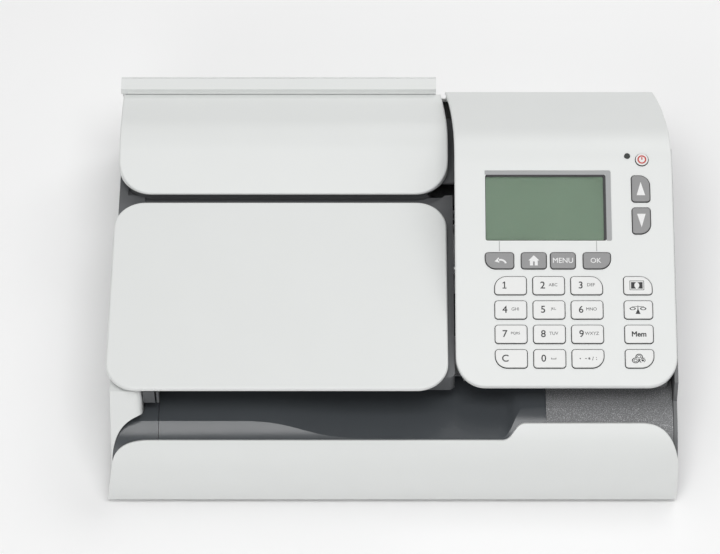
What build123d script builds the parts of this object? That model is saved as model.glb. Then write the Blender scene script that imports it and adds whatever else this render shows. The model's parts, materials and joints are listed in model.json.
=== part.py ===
from build123d import *
import math
import os

# Desktop franking machine. Millimetres. X to the operator's right, Y to the back, Z up.
# Every sub-part is drawn with Y = 0 at the front bottom edge, and is moved by CENTRE when it is
# written, so that the origin is on the standing surface below the middle of the machine.

# Whole machine
HALF_W = 192.5
DEPTH = 304.0
FOOT_H = 4.0
WALL = 2.5
GAP = 0.3
CENTRE = Pos(0, -DEPTH / 2, 0)

# Rolled front
FRONT_R = 49.0
FRONT_EDGE_LEFT = 44.0
FRONT_EDGE_RIGHT = 54.9
STEP_X0 = 74.0
STEP_X1 = 90.0

# Mail deck and slot
DECK_Z = 48.0
TROUGH_Z = 43.0
RAISED_Z = 50.0
DECK_R = FRONT_R - WALL - GAP
DECK_SEAM_X = -157.2
DECK_STOP_X = 103.8
SLOT_LEFT_X = -167.5
SLOT_BACK_Y = 138.0
CEILING_Z = 55.5
CHASSIS_T = 1.5

# Shoulder at the slot's left end
CHEEK_TOP_Y = 43.4
CHEEK_TOP_Z = 71.5
CHEEK_R = 5.0

# Left frame housing
FRAME_LEFT_X = -190.0
FRAME_RIGHT_X = 42.2
FRAME_FRONT_Y = 54.0
FRAME_TOP_Z = 72.0
GUIDE_RIBS = ((-167.0, -159.2), (-158.0, -156.4))
GUIDE_FRONT_Y = 43.5

# Weigh platform
PLAT_X0 = -192.0
PLAT_X1 = 37.7
PLAT_Y0 = 41.2
PLAT_Y1 = 195.9
PLAT_TOP = 78.0
PLAT_SKIRT = 2.6
PLAT_T = 2.0
PLAT_R = 21.0
SEAT_Z = 74.4

# Rear cover
COVER_X1 = 39.0
COVER_Y0 = 201.4
COVER_Z0 = 80.5
COVER_SKIRT_Z = 79.2
COVER_T = 2.2
COVER_RIM_Z = 78.0
MOAT_W = 4.9
MOAT_Z = 69.0
COVER_BEND_Y = 244.0
COVER_BEND_Z = 95.5
COVER_TAIL_Y = 287.0
COVER_TAIL_Z = 84.5
HINGE_Y = 279.0
HINGE_Z = 80.5
HINGE_PIN_R = 1.5
HINGE_EAR_R = 3.2
HINGE_EARS = (-150.0, -2.0)
HINGE_SWEEP_R = 7.6
BRIDGE_X1 = 31.2

# Control panel
PANEL_X0 = 42.8
PANEL_X1 = 191.9
PANEL_Y0 = 46.4
PANEL_Z0 = 70.0
PANEL_FRONT_Y = 48.2
PANEL_TILT = 17.0
PANEL_BEND_Y = 216.0
PANEL_BACK_Y = 279.0
PANEL_BACK_Z = 96.0
PANEL_T = 2.6
PANEL_SKIRT = 2.6
PANEL_WALL_Y = 61.0
PANEL_WALL_TOP_Z = 78.0
WALL_DROP = 6.5
PANEL_PLANE = Plane(
    origin=(0, PANEL_Y0, PANEL_Z0),
    x_dir=(1, 0, 0),
    z_dir=(0, -math.sin(math.radians(PANEL_TILT)), math.cos(math.radians(PANEL_TILT))),
)
PANEL_BEND_Z = PANEL_Z0 + (PANEL_BEND_Y - PANEL_Y0) * math.tan(math.radians(PANEL_TILT))

# Keys, in the control panel's own plane: x across, s up the slope
KEY_PROUD = 1.1
KEY_DEPTH = 2.6
KEY_FLANGE = 0.9
KEY_FOOT_T = 0.8
KEY_CLEAR = 0.55
KEY_W = 21.2
KEY_H = 12.6
KEY_COLUMNS = (69.6, 95.4, 121.1)
KEY_FUNCTION_X = 156.9
KEY_FUNCTION_W = 18.9
KEY_ROW0 = 14.6
KEY_ROW_PITCH = 17.2
KEY_R = 2.0
KEY_BIG_R = 8.0
GREY_S0 = 84.6
GREY_H = 11.4

POWER_X = 171.2
POWER_S = 163.2
POWER_R = 4.2
POWER_DEPTH = 3.6

# Display and status lamp
LCD_X0 = 63.7
LCD_X1 = 146.2
LCD_S0 = 105.0
LCD_S1 = 152.7
LCD_LEDGE = 0.4
LCD_GLASS_TOP = -1.7
LED_X = 161.2
LED_S = 166.0
LED_R = 2.0

# Print carriage
ROD_R = 3.0
ROD_FRONT_Y = 150.0
ROD_REAR_Y = 262.0
ROD_Z = 62.5
ROD_X0 = -64.0
ROD_X1 = 176.0
HOME_X = 132.0
HALF_ARM = 22.0
BELT_Y = 196.0
BELT_R = 6.3
PULLEY_X0 = -52.0
PULLEY_X1 = 164.0
CARRIAGE_ROOF_Z = 74.2

# Eject roller
ROLLER_Y = 92.0
ROLLER_Z = 30.0
ROLLER_R = 13.4
ROLLER_SHAFT_R = 3.0
ROLLER_XS = (0.0, 52.0)

# Sockets and vents in the casing
INLET_X = 142.0
INLET_Z = 18.0
VENT_W = 10.0
VENT_XS = (-150, -130, -110, -90, 90, 110, 130, 150)


def block(x0, x1, y0, y1, z0, z1):
    """A box given by its limits."""
    return Pos(x0, y0, z0) * Box(x1 - x0, y1 - y0, z1 - z0, align=(Align.MIN,) * 3)


def post(radius, x, y, z0, z1):
    """An upright round bar."""
    return Pos(x, y, z0) * Cylinder(radius, z1 - z0, align=(Align.CENTER, Align.CENTER, Align.MIN))


def bar_x(radius, x0, x1, y, z):
    """A round bar along X."""
    turned = Rot(0, 90, 0) * Cylinder(radius, x1 - x0, align=(Align.CENTER, Align.CENTER, Align.MIN))
    return Pos(x0, y, z) * turned


def bar_y(radius, x, y0, y1, z):
    """A round bar along Y."""
    turned = Rot(-90, 0, 0) * Cylinder(radius, y1 - y0, align=(Align.CENTER, Align.CENTER, Align.MIN))
    return Pos(x, y0, z) * turned


def side_profile(face, x0, x1):
    """Extrudes a face drawn in side view, as (Y, Z), from x0 to x1."""
    return extrude(Plane.YZ.offset(x0) * face, x1 - x0)


def front_profile(face, y0, y1):
    """Extrudes a face drawn in front view, as (X, Z), from y0 to y1."""
    plane = Plane(origin=(0, y1, 0), x_dir=(1, 0, 0), z_dir=(0, -1, 0))
    return extrude(plane * face, y1 - y0)


def polygon(*points):
    return make_face(Polyline(*points, close=True))


def rounded(x0, x1, y0, y1, radii):
    """A rectangle with its own radius at each corner, from bottom left, counter-clockwise."""
    outline = FilletPolyline((x0, y0), (x1, y0), (x1, y1), (x0, y1), radius=list(radii), close=True)
    return make_face(outline)


def corner(start, middle, end):
    """A soft corner that leaves start and reaches end in the directions of middle."""
    return Bezier(start, middle, end)


def s_bend(start, end):
    """A smooth step between two level lines."""
    middle = (start[0] + end[0]) / 2
    return Bezier(start, (middle, start[1]), (middle, end[1]), end)


def rounded_front(radius, y_back, z_top):
    """The side view of everything behind the rolled front, at a given radius."""
    start = (FRONT_R - radius, FOOT_H)
    height = min(z_top - FOOT_H, radius * 0.9999)
    reach = FRONT_R - math.sqrt(radius**2 - height**2)
    angle = math.radians(180) - math.asin(height / radius) / 2
    middle = (FRONT_R + radius * math.cos(angle), FOOT_H + radius * math.sin(angle))
    arc = ThreePointArc(start, middle, (reach, FOOT_H + height))
    rest = Polyline((reach, FOOT_H + height), (y_back, FOOT_H + height), (y_back, FOOT_H), start)
    return make_face([arc, rest])


FRONT_VIEW = Plane(
    origin=(0, 0, FOOT_H), x_dir=(1, 0, 0), z_dir=(0, -math.sqrt(0.5), math.sqrt(0.5))
)


def seen_from_front(face):
    """A prism whose sides run square to the rolled front, halfway up it."""
    return extrude(FRONT_VIEW * face, 130, both=True)


def deck_end_outline(shift):
    """The rounded left boundary of the deck, as a closed region to its right."""
    left = -188.2 + shift
    inner = SLOT_LEFT_X + shift
    curve = corner((left, 30), (left + 1, 56), (inner, 62))
    rest = Polyline((inner, 62), (inner, 200), (210, 200), (210, -20), (left, -20), (left, 30))
    return make_face([curve, rest])


# ---------------------------------------------------------------- lower housing


def right_outline(inset):
    """Plan of the machine, with the right side drawn in towards the back."""
    x = HALF_W - inset
    turn = (184 - inset, 283)
    back = (180 - inset, DEPTH + 1)
    curve = Bezier((x, 190), (x, 250), turn)
    rest = Polyline(turn, back, (-HALF_W, DEPTH + 1), (-HALF_W, 0), (x, 0), (x, 190))
    return make_face([curve, rest])


def base_casing():
    floor = extrude(right_outline(2.8), WALL)
    floor = Pos(0, 0, FOOT_H) * floor & block(-189.4, 200, 3.2, DEPTH - 2.6, 0, 20)
    left = polygon((-192.0, 4), (-188.8, 32), (-188.8, 57), (-186.3, 57), (-186.3, 32), (-189.5, 4))
    wall = front_profile(left, 3.2, DEPTH - 4.6)
    behind_roll = side_profile(rounded_front(DECK_R, DEPTH, 57), -195, -180)
    wall = wall & (behind_roll + block(-195, -180, FRAME_FRONT_Y + GAP, DEPTH, 40, 57 - GAP))
    wall = wall - (seen_from_front(deck_end_outline(0.0)) & block(-195, -180, 0, 70, 0, 62))
    lip = block(-184, 187, 8, 10, FOOT_H, 26)
    casing = floor + wall + cheek() + lip
    for x in (-120, -40, 40, 120):
        casing = casing + block(x - 1, x + 1, 4.5, 8, FOOT_H, 16)
    for x, y in screw_places():
        casing = casing + post(5.0, x, y, FOOT_H, 14)
        casing = casing - post(3.6, x, y, FOOT_H - 1, FOOT_H + 3) - post(1.6, x, y, FOOT_H, 13)
    for x in (-178, 178):
        for y in (145, 268):
            casing = casing + block(x - 4, x + 4, y - 4, y + 4, FOOT_H + WALL, CEILING_Z)
    for x in (-19, 69):
        bearing = block(x - 2, x + 2, ROLLER_Y - 6, ROLLER_Y + 6, FOOT_H + WALL, ROLLER_Z + 6)
        casing = casing + bearing - bar_x(ROLLER_SHAFT_R + 0.05, x - 3, x + 3, ROLLER_Y, ROLLER_Z)
    for x, y in foot_places():
        casing = casing - post(8.0, x, y, FOOT_H - 1, FOOT_H + 1)
    for x in VENT_XS:
        casing = casing - block(x, x + VENT_W, 262, 265, FOOT_H - 1, FOOT_H + WALL + 1)
    return casing


def on_front(radius, degrees):
    """A point of the rolled front, as (Y, Z), at an angle up from its foot."""
    turn = math.radians(degrees)
    return (FRONT_R - radius * math.cos(turn), FOOT_H + radius * math.sin(turn))


def cheek():
    """The rounded shoulder at the left end of the mail slot."""
    solids = []
    for inset in (0.0, WALL):
        radius = DECK_R - inset
        foot = on_front(radius, 20)
        arc = ThreePointArc(foot, on_front(radius, 33), on_front(radius, 46))
        top = CHEEK_TOP_Z - inset
        edge = (CHEEK_TOP_Y + inset * 1.2, top)
        back = FRAME_FRONT_Y - GAP
        rest = Polyline(on_front(radius, 46), edge, (back, top), (back, FOOT_H), (foot[0], FOOT_H), foot)
        solid = side_profile(make_face([arc, rest]), -188.8 + inset, SLOT_LEFT_X - GAP - inset)
        slope_edge = solid.faces().sort_by(Axis.X)[-1].edges().sort_by(Axis.Z)[-2]
        solids.append(fillet(slope_edge, CHEEK_R - inset))
    shell = solids[0] - solids[1] - block(-200, -160, 0, 60, 0, 20)
    return shell - (seen_from_front(deck_end_outline(0.0)) & block(-200, SLOT_LEFT_X + 5, 0, 60, 0, 62))


def screw_places():
    return [(-170, 40), (170, 40), (-170, 180), (172, 180), (-120, 288), (120, 288)]


def foot_places():
    return [(-165, 22), (165, 22), (-165, 250), (160, 250)]


def rubber_feet():
    feet = []
    for x, y in foot_places():
        pad = post(8.0, x, y, 0, FOOT_H + 1)
        feet.append(chamfer(pad.edges().group_by(Axis.Z)[0], 0.8))
    return feet


def case_screws():
    screws = []
    for x, y in screw_places():
        screw = post(3.0, x, y, FOOT_H + 1, FOOT_H + 3) + post(1.5, x, y, FOOT_H + 3, FOOT_H + 8)
        screw = screw - block(x - 2, x + 2, y - 0.4, y + 0.4, FOOT_H, FOOT_H + 2)
        screw = screw - block(x - 0.4, x + 0.4, y - 2, y + 2, FOOT_H, FOOT_H + 2)
        screws.append(screw)
    return screws


def front_fascia():
    ring = side_profile(rounded_front(FRONT_R, 60, 53), -HALF_W, HALF_W)
    ring = ring - side_profile(rounded_front(FRONT_R - WALL, 60, 50.5), -HALF_W - 1, HALF_W + 1)
    lean = 188.4
    start = (-HALF_W, -6)
    outline = make_face(
        [
            Polyline(start, (-HALF_W, 0), (-lean, 27)),
            corner((-lean, 27), (-lean + 1.5, FRONT_EDGE_LEFT), (-163, FRONT_EDGE_LEFT)),
            Line((-163, FRONT_EDGE_LEFT), (STEP_X0, FRONT_EDGE_LEFT)),
            s_bend((STEP_X0, FRONT_EDGE_LEFT), (STEP_X1, FRONT_EDGE_RIGHT)),
            Line((STEP_X1, FRONT_EDGE_RIGHT), (168, FRONT_EDGE_RIGHT)),
            corner((168, FRONT_EDGE_RIGHT), (190, FRONT_EDGE_RIGHT), (HALF_W, 28)),
            Polyline((HALF_W, 28), (HALF_W, -6), start),
        ]
    )
    plate = ring & seen_from_front(outline) & block(-200, 200, -1, 42, FOOT_H, 60)
    for x in (-120, -40, 40, 120):
        plate = plate + (block(x - 1, x + 1, 2, 4.5, FOOT_H + WALL + 0.1, 14) - outside_front(x))
    return plate


def outside_front(x):
    """What lies outside the rolled front, to trim a rib to it."""
    inside = side_profile(rounded_front(FRONT_R - 1, 60, 50), x - 2, x + 2)
    return block(x - 2, x + 2, -5, 10, 0, 30) - inside


def deck_body(radius_inset):
    """Everything under the deck's skin, inset by its thickness."""
    radius = DECK_R - radius_inset
    z = DECK_Z - radius_inset
    trough = TROUGH_Z - radius_inset
    raised = RAISED_Z - radius_inset
    top = make_face(
        [
            Polyline((-185, 0), (-185, z), (-100, z)),
            s_bend((-100, z), (-15, trough)),
            Line((-15, trough), (STEP_X0 - 2, trough)),
            s_bend((STEP_X0 - 2, trough), (STEP_X1 - 1, raised)),
            Polyline((STEP_X1 - 1, raised), (120, raised), (120, 0), (-185, 0)),
        ]
    )
    roll = rounded_front(radius, SLOT_BACK_Y - radius_inset, FOOT_H + radius)
    return front_profile(top, -5, SLOT_BACK_Y + 10) & side_profile(roll, -190, 125)


def deck_skin():
    skin = deck_body(0.0) - deck_body(2.2)
    return skin & block(-200, DECK_STOP_X, 0, 200, 27, 60)


def deck_end():
    """The separate end piece of the deck, rounded to the left."""
    skin = side_profile(rounded_front(DECK_R, SLOT_BACK_Y, DECK_Z), -189, DECK_SEAM_X)
    skin = skin - side_profile(rounded_front(DECK_R - 2.2, SLOT_BACK_Y, DECK_Z - 2.2), -190, DECK_SEAM_X + 1)
    skin = skin & seen_from_front(deck_end_outline(GAP))
    return skin & block(-187.6, DECK_SEAM_X - 0.15, 0, SLOT_BACK_Y, 27, 60)


def mail_deck():
    deck = deck_skin() & block(DECK_SEAM_X + 0.15, DECK_STOP_X, 0, 200, 27, 60)
    deck = deck + block(-100, 100, 136, SLOT_BACK_Y, 27, 44)
    deck = deck + block(DECK_SEAM_X + 0.15, STEP_X0, SLOT_BACK_Y - 2, SLOT_BACK_Y, 40, CEILING_Z)
    deck = deck - block(STEP_X1, 140, 95, 140, 20, 60)
    for x in ROLLER_XS:
        deck = deck - block(x - 7, x + 7, ROLLER_Y - 9, ROLLER_Y + 9, 36, 60)
    return deck


# ---------------------------------------------------------------- dark frame housing


def mid_housing():
    """The frame around the weigh platform and under the rear cover."""
    outline = rounded(FRAME_LEFT_X, FRAME_RIGHT_X, FRAME_FRONT_Y, 288, (16, 4, 4, 6))
    inner = rounded(FRAME_LEFT_X + WALL, FRAME_RIGHT_X - WALL, FRAME_FRONT_Y + WALL, 285.5, (14, 2, 2, 4))
    shell = extrude(Pos(0, 0, 57) * outline, FRAME_TOP_Z - 57) - extrude(Pos(0, 0, 56) * inner, 67.5 - 56)
    pocket = rounded(PLAT_X0 + 9, PLAT_X1 - 8, FRAME_FRONT_Y + 5, PLAT_Y1 - 9, (13,) * 4)
    seat = rounded(PLAT_X0 + 3, PLAT_X1 - 3, FRAME_FRONT_Y + 1, PLAT_Y1 - 3, (17,) * 4)
    shell = shell + extrude(Pos(0, 0, FRAME_TOP_Z) * seat, SEAT_Z - FRAME_TOP_Z)
    shell = shell - extrude(Pos(0, 0, 70) * pocket, 10)
    moat = extrude(Pos(0, 0, MOAT_Z) * (cover_plan(-MOAT_W) - cover_plan(COVER_T)), 15)
    shell = shell - (moat & block(-172, 60, 190, 262, MOAT_Z, 80))
    bay = rounded(-60, 60, 206, 276, (6,) * 4)
    shell = shell - extrude(Pos(0, 0, 50) * bay, 40) - block(-184, -120, 206, 276, 69.5, 80)
    shell = shell + cover_rim()
    shell = shell - block(38, 50, 95, 280, 50, 67.5)
    shell = shell - block(-88.5, -65.5, 76, 162, 60, 80)
    shell = shell - block(-191, SLOT_LEFT_X, 40, FRAME_FRONT_Y + GAP, 50, 73)
    shell = shell - bar_x(9.5, -200, 60, HINGE_Y, HINGE_Z) - block(7, 60, 270, 290, 50, 90)
    for x in HINGE_EARS:
        shell = shell - block(x - 2.4, x + 10, 270, 290, 50, 90)
    for x0, x1 in GUIDE_RIBS:
        shell = shell + block(x0, x1, GUIDE_FRONT_Y, FRAME_FRONT_Y, 57.5, 71)
    return shell


def cover_rim():
    """The dark ledge the rear cover closes on, and the shelf between it and the control panel."""
    ring = cover_plan(COVER_T + 0.4) - cover_plan(COVER_T + 2.4)
    rim = extrude(Pos(0, 0, 67.5) * ring, COVER_RIM_Z - 67.5)
    front = rim & block(-200, 60, 190, 206, 67.5, COVER_RIM_Z)
    left = rim & block(-200, -170, 190, 276, 67.5, COVER_RIM_Z)
    right = rim & block(-60, 60, 205, 262, CARRIAGE_ROOF_Z, COVER_RIM_Z)
    shelf = block(34.8, PANEL_X0 + 3.7, 214, 270, CARRIAGE_ROOF_Z, CARRIAGE_ROOF_Z + 1.8)
    return front + left + right + (shelf - panel_shape(3.7, -20, 60))


def panel_shape(inset, drop, flat_bottom):
    """The control panel's block: plan drawn in by inset, roof lowered by drop."""
    x0 = PANEL_X0 + inset
    x1 = PANEL_X1 - inset
    y0 = PANEL_FRONT_Y + inset
    back = PANEL_BACK_Y - inset
    r = 20 - inset
    plan = make_face(
        [
            Polyline((x0 + r, y0), (x1 - r, y0)),
            RadiusArc((x1 - r, y0), (x1, y0 + r), -r),
            Line((x1, y0 + r), (x1, 190)),
            Bezier((x1, 190), (x1, 252), (x1 - 8.4, back)),
            Line((x1 - 8.4, back), (x0 - 5.4, back)),
            Bezier((x0 - 5.4, back), (x0, 255), (x0, 205)),
            Line((x0, 205), (x0, y0 + r)),
            RadiusArc((x0, y0 + r), (x0 + r, y0), -r),
        ]
    )
    solid = extrude(Pos(0, 0, flat_bottom) * plan, 150 - flat_bottom)
    over = 30
    front_slope = math.tan(math.radians(PANEL_TILT))
    back_slope = (PANEL_BEND_Z - PANEL_BACK_Z) / (PANEL_BACK_Y - PANEL_BEND_Y)
    points = [
        (PANEL_Y0 - over, PANEL_Z0 - over * front_slope - drop),
        (PANEL_BEND_Y, PANEL_BEND_Z - drop),
        (PANEL_BACK_Y + over, PANEL_BACK_Z - over * back_slope - drop),
        (PANEL_BACK_Y + over, 30),
        (PANEL_Y0 - over, 30),
    ]
    roof = make_face(FilletPolyline(*points, radius=[0, 45 - drop, 0, 0, 0], close=True))
    return solid & side_profile(roof, 20, 200)


def soften(solid, radius):
    """Rounds the edge between a cover's roof and its sides."""
    roof_edges = []
    for face in solid.faces():
        if face.normal_at().Z > 0.5:
            roof_edges.extend(face.edges())
    rim = [e for e in roof_edges if sum(1 for other in roof_edges if other.is_same(e)) == 1]
    return fillet(rim, radius)


def right_housing():
    """The textured deck beside the slot, and the wall under the control panel's front."""
    outer = side_profile(rounded_front(DECK_R, 66, RAISED_Z), DECK_STOP_X + 0.2, 189.4)
    inner = side_profile(rounded_front(DECK_R - 2, 68, RAISED_Z - 2), DECK_STOP_X, 190)
    deck = (outer - inner) & extrude(right_outline(2.9), 60) & block(100, 190, 0, 66, 27, 60)
    ring = panel_shape(4.0, PANEL_T, 40) - panel_shape(6.5, -20, 30)
    inside = panel_shape(4.0, WALL_DROP, 40)
    front = inside & block(DECK_STOP_X + 0.2, 188, PANEL_WALL_Y, PANEL_WALL_Y + WALL, RAISED_Z - 1, 90)
    over = CEILING_Z + CHASSIS_T + 0.2
    over_slot = inside & block(40, DECK_STOP_X + 1, PANEL_WALL_Y, PANEL_WALL_Y + WALL, over, 90)
    bridge = ring & block(40, 60, PANEL_WALL_Y, 88, over, PANEL_WALL_TOP_Z)
    left = ring & block(40, 60, 80, PANEL_BACK_Y, FRAME_TOP_Z + 2, 130)
    return deck + front + over_slot + bridge + left


def side_wall_face(lower):
    """Side view of the right side panel, which stops just under the control panel's skirt."""
    radius = DECK_R
    height = 42.5
    reach = FRONT_R - math.sqrt(radius**2 - height**2)
    arc = ThreePointArc(
        (FRONT_R - radius, FOOT_H),
        (FRONT_R - radius * math.cos(math.radians(33)), FOOT_H + radius * math.sin(math.radians(33))),
        (reach, FOOT_H + height),
    )
    slope = math.tan(math.radians(PANEL_TILT))
    start_y = PANEL_Y0 + 6
    points = [
        (reach, FOOT_H + height),
        (start_y - 4, RAISED_Z + 2),
        (start_y, PANEL_Z0 + 6 * slope - lower),
        (PANEL_BEND_Y - 4, PANEL_BEND_Z - 4 * slope - lower - 1.5),
        (PANEL_BACK_Y - 4, PANEL_BACK_Z - lower - 0.5),
        (PANEL_BACK_Y + 1.5, PANEL_BACK_Z - lower - 2.5),
        (DEPTH - 0.4, 55),
        (DEPTH - 0.2, FOOT_H),
        (FRONT_R - radius, FOOT_H),
    ]
    return make_face([arc, Polyline(*points)])


def right_side_panel():
    ring = extrude(right_outline(0.2), 130) - extrude(right_outline(2.7), 130)
    wall = ring & side_profile(side_wall_face(PANEL_SKIRT + 0.4), 150, 200)
    return wall & block(174, 200, 2, DEPTH, FOOT_H, 130)


def rear_casing():
    """The back wall, with the fixed bridge that the rear cover's hinge hides under."""
    bridge = polygon(
        (285.2, 85.6), (285.2, 91), (293, 93), (298.5, 88), (303.8, 55), (DEPTH, FOOT_H), (301.6, FOOT_H),
        (301.4, 55), (296.5, 85), (292.6, 90.5), (288, 89.2), (287, 85.6),
    )
    left = side_profile(bridge, -191.5, BRIDGE_X1)
    gutter = bar_x(HINGE_SWEEP_R + 1.8, -187, BRIDGE_X1, HINGE_Y, HINGE_Z)
    gutter = gutter - bar_x(HINGE_SWEEP_R + GAP, -188, BRIDGE_X1 + 1, HINGE_Y, HINGE_Z)
    gutter = gutter & block(-187, BRIDGE_X1, 284.9, 290, 77, 87.2)
    for x in HINGE_EARS:
        gutter = gutter - block(x - 4, x + 11, 280, 295, 70, 84)
    slope = polygon(
        (275, 89.6), (275, 92.2), (280.5, 91.6), (303.8, 55), (DEPTH, FOOT_H), (301.6, FOOT_H),
        (301.4, 54), (279, 89.3),
    )
    right = side_profile(slope, 38.4, 190) & (Pos(0, 0, FOOT_H) * extrude(right_outline(2.9), 120))
    wall = polygon((296.5, 66), (303.8, 55), (DEPTH, FOOT_H), (301.6, FOOT_H), (301.4, 54), (295.5, 63.4))
    casing = left + gutter + side_profile(wall, BRIDGE_X1, 38.4) + right
    end = polygon(
        (288.5, 84), (291.5, 90), (297, 87), (303.8, 55), (DEPTH, FOOT_H), (301, FOOT_H), (299, 60),
    )
    casing = casing + side_profile(end, -191.5, -189.1)
    for x in HINGE_EARS:
        ear = block(x - 2, x + 2, HINGE_Y, 302, 62, 72) + block(x - 2, x + 2, 289.5, 297, 62, 84)
        ear = ear + block(x - 2, x + 2, HINGE_Y - HINGE_EAR_R, HINGE_Y + HINGE_EAR_R, 62, HINGE_Z)
        ear = ear + bar_x(HINGE_EAR_R, x - 2, x + 2, HINGE_Y, HINGE_Z)
        casing = casing + ear - bar_x(HINGE_PIN_R, x - 3, x + 3, HINGE_Y, HINGE_Z)
    casing = casing - block(56, 70.4, 290, 310, 12, 25)
    casing = casing - bar_y(5.6, INLET_X, 290, 310, INLET_Z)
    for x in range(-150, -40, 8):
        casing = casing - block(x, x + 3.5, 296, 310, 20, 48)
    return casing


def hinge_pins():
    return [bar_x(HINGE_PIN_R, x - 2.0, x + 10.0, HINGE_Y, HINGE_Z) for x in HINGE_EARS]


# ---------------------------------------------------------------- covers


def cover_plan(inset):
    """The rear cover's outline from above, drawn in by inset."""
    x0 = FRAME_LEFT_X + inset
    x1 = COVER_X1 - inset
    y0 = COVER_Y0 + inset
    y1 = COVER_TAIL_Y - inset
    r = 23 - inset
    return make_face(
        [
            Line((x0 + r, y0), (x1 - r, y0)),
            RadiusArc((x1 - r, y0), (x1, y0 + r), -r),
            Line((x1, y0 + r), (x1, 235)),
            Bezier((x1, 235), (x1, 262), (x1 - 4.8, y1)),
            Polyline((x1 - 4.8, y1), (x0, y1), (x0, y0 + r)),
            RadiusArc((x0, y0 + r), (x0 + r, y0), -r),
        ]
    )


def cover_block(inset, drop, bottom):
    """The rear cover's block: plan drawn in by inset, roof lowered by drop."""
    solid = extrude(Pos(0, 0, bottom) * cover_plan(inset), 60)
    front_slope = (COVER_BEND_Z - COVER_Z0) / (COVER_BEND_Y - COVER_Y0)
    back_slope = (COVER_BEND_Z - COVER_TAIL_Z) / (COVER_TAIL_Y - COVER_BEND_Y)
    points = [
        (COVER_Y0 - 20, COVER_Z0 - 20 * front_slope - drop),
        (COVER_BEND_Y, COVER_BEND_Z - drop),
        (COVER_TAIL_Y + 20, COVER_TAIL_Z - 20 * back_slope - drop),
        (COVER_TAIL_Y + 20, 50),
        (COVER_Y0 - 20, 50),
    ]
    roof = make_face(FilletPolyline(*points, radius=[0, 42 - drop, 0, 0, 0], close=True))
    return solid & side_profile(roof, -200, 60)


def ink_cover():
    keep = block(-200, 60, 190, HINGE_Y, 60, 120) + bar_x(HINGE_SWEEP_R, -200, 60, HINGE_Y, HINGE_Z)
    outer = soften(cover_block(0.0, 0.0, COVER_SKIRT_Z), 1.2)
    cover = (outer - cover_block(COVER_T, COVER_T, COVER_SKIRT_Z - 10)) & keep
    for x in HINGE_EARS:
        knuckle = bar_x(HINGE_EAR_R, x + 2.4, x + 9.6, HINGE_Y, HINGE_Z)
        knuckle = knuckle + block(x + 2.4, x + 9.6, HINGE_Y - 3, HINGE_Y + 3, HINGE_Z, HINGE_Z + 4.2)
        cover = cover + knuckle - bar_x(HINGE_PIN_R + 0.05, x + 2, x + 11, HINGE_Y, HINGE_Z)
        cover = cover - block(x - 2.6, x + 2.4, HINGE_Y - 6, HINGE_Y + 9, 70, HINGE_Z + 3.7)
    return cover


def weigh_platform():
    shape = rounded(PLAT_X0, PLAT_X1, PLAT_Y0, PLAT_Y1, (PLAT_R,) * 4)
    inside = rounded(PLAT_X0 + 2, PLAT_X1 - 2, PLAT_Y0 + 2, PLAT_Y1 - 2, (PLAT_R - 2,) * 4)
    plate = extrude(Pos(0, 0, PLAT_TOP - PLAT_SKIRT) * shape, PLAT_SKIRT)
    plate = fillet(plate.edges().group_by(Axis.Z)[-1], 1.4)
    return plate - extrude(Pos(0, 0, PLAT_TOP - PLAT_SKIRT - 1) * inside, PLAT_SKIRT + 1 - PLAT_T)


def platform_spider():
    """The cross that carries the platform, with its boss on the load cell's free end."""
    z0 = 71.6
    z1 = PLAT_TOP - PLAT_T
    spider = block(-150, -4, 112, 125, z0, z1) + block(-84, -70, 66, 171, z0, z1)
    for x in (-150, -17):
        spider = spider + block(x, x + 13, 66, 171, z0, z1)
    return spider + block(-83, -71, 80, 94, 70.8, z0)


def load_cell():
    """A single-point beam: one end on the chassis, the other under the spider."""
    beam = block(-83, -71, 78, 160, 60.5, 70.0)
    for y in (108, 130):
        beam = beam - bar_x(3.6, -90, -60, y, 65.2)
    beam = beam - block(-90, -60, 108, 130, 63.6, 66.8)
    return beam + block(-83, -71, 142, 160, CEILING_Z + CHASSIS_T, 60.5)


# ---------------------------------------------------------------- control panel


def on_panel(face, low, high):
    """Extrudes a face drawn on the control panel from low to high, measured out of its surface."""
    return extrude(PANEL_PLANE.offset(low) * face, high - low)


def key_table():
    """Every key as name, limits across and up the slope, and its four corner radii."""
    r = KEY_R
    big = KEY_BIG_R
    keys = []
    names = (("key_clear", "key_0", "key_symbols"), ("key_7", "key_8", "key_9"), ("key_4", "key_5", "key_6"),
             ("key_1", "key_2", "key_3"))
    for row, row_names in enumerate(names):
        s0 = KEY_ROW0 + row * KEY_ROW_PITCH
        for column, name in enumerate(row_names):
            radii = [r, r, r, r]
            if name == "key_clear":
                radii[0] = big
            if name == "key_symbols":
                radii[1] = big
            if name == "key_3":
                radii[2] = big
            if name == "key_1":
                radii[3] = big
            keys.append((name, KEY_COLUMNS[column], KEY_COLUMNS[column] + KEY_W, s0, s0 + KEY_H, radii))
        radii = [r, big if row == 0 else r, big if row == 3 else r, r]
        name = ("key_images", "key_memory", "key_weigh", "key_postage")[row]
        keys.append((name, KEY_FUNCTION_X, KEY_FUNCTION_X + KEY_FUNCTION_W, s0, s0 + KEY_H, radii))
    grey = (("key_back", 63.4, 82.5, (7.0, r, r, r)), ("key_home", 87.8, 104.6, (r,) * 4),
            ("key_menu", 107.6, 124.3, (r,) * 4), ("key_ok", 129.8, 148.2, (r, 7.0, r, r)))
    for name, x0, x1, radii in grey:
        keys.append((name, x0, x1, GREY_S0, GREY_S0 + GREY_H, list(radii)))
    keys.append(("key_up", 163.8, 176.0, 132.6, 151.4, [r, r, 7.0, r]))
    keys.append(("key_down", 163.8, 176.0, 109.6, 128.2, [r, 7.0, r, r]))
    return keys


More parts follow.
